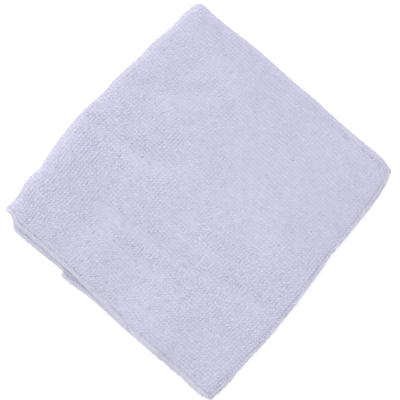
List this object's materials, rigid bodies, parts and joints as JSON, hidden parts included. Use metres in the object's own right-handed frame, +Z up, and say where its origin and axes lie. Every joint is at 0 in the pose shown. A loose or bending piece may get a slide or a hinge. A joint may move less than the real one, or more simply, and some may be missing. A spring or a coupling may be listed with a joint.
{
  "type": "folded microfiber cloth",
  "caption": "Square terry microfiber cleaning cloth, folded in quarters and lying flat, with rounded folds on two sides and open overlocked hems on the other two.",
  "frame": {"origin": "centre of the bounding box at the level of the surface that the cloth lies on", "axes": "+Z up through the four layers; +X towards the first fold, -X towards the hems that lie open beside it; +Y towards the second fold, -Y towards the other open hems"},
  "size_m": [0.1626, 0.155, 0.013],
  "materials": {
    "terry": "matt looped pile"
  },
  "bodies": {
    "root": {"cloth": "terry"}
  },
  "joints": []
}
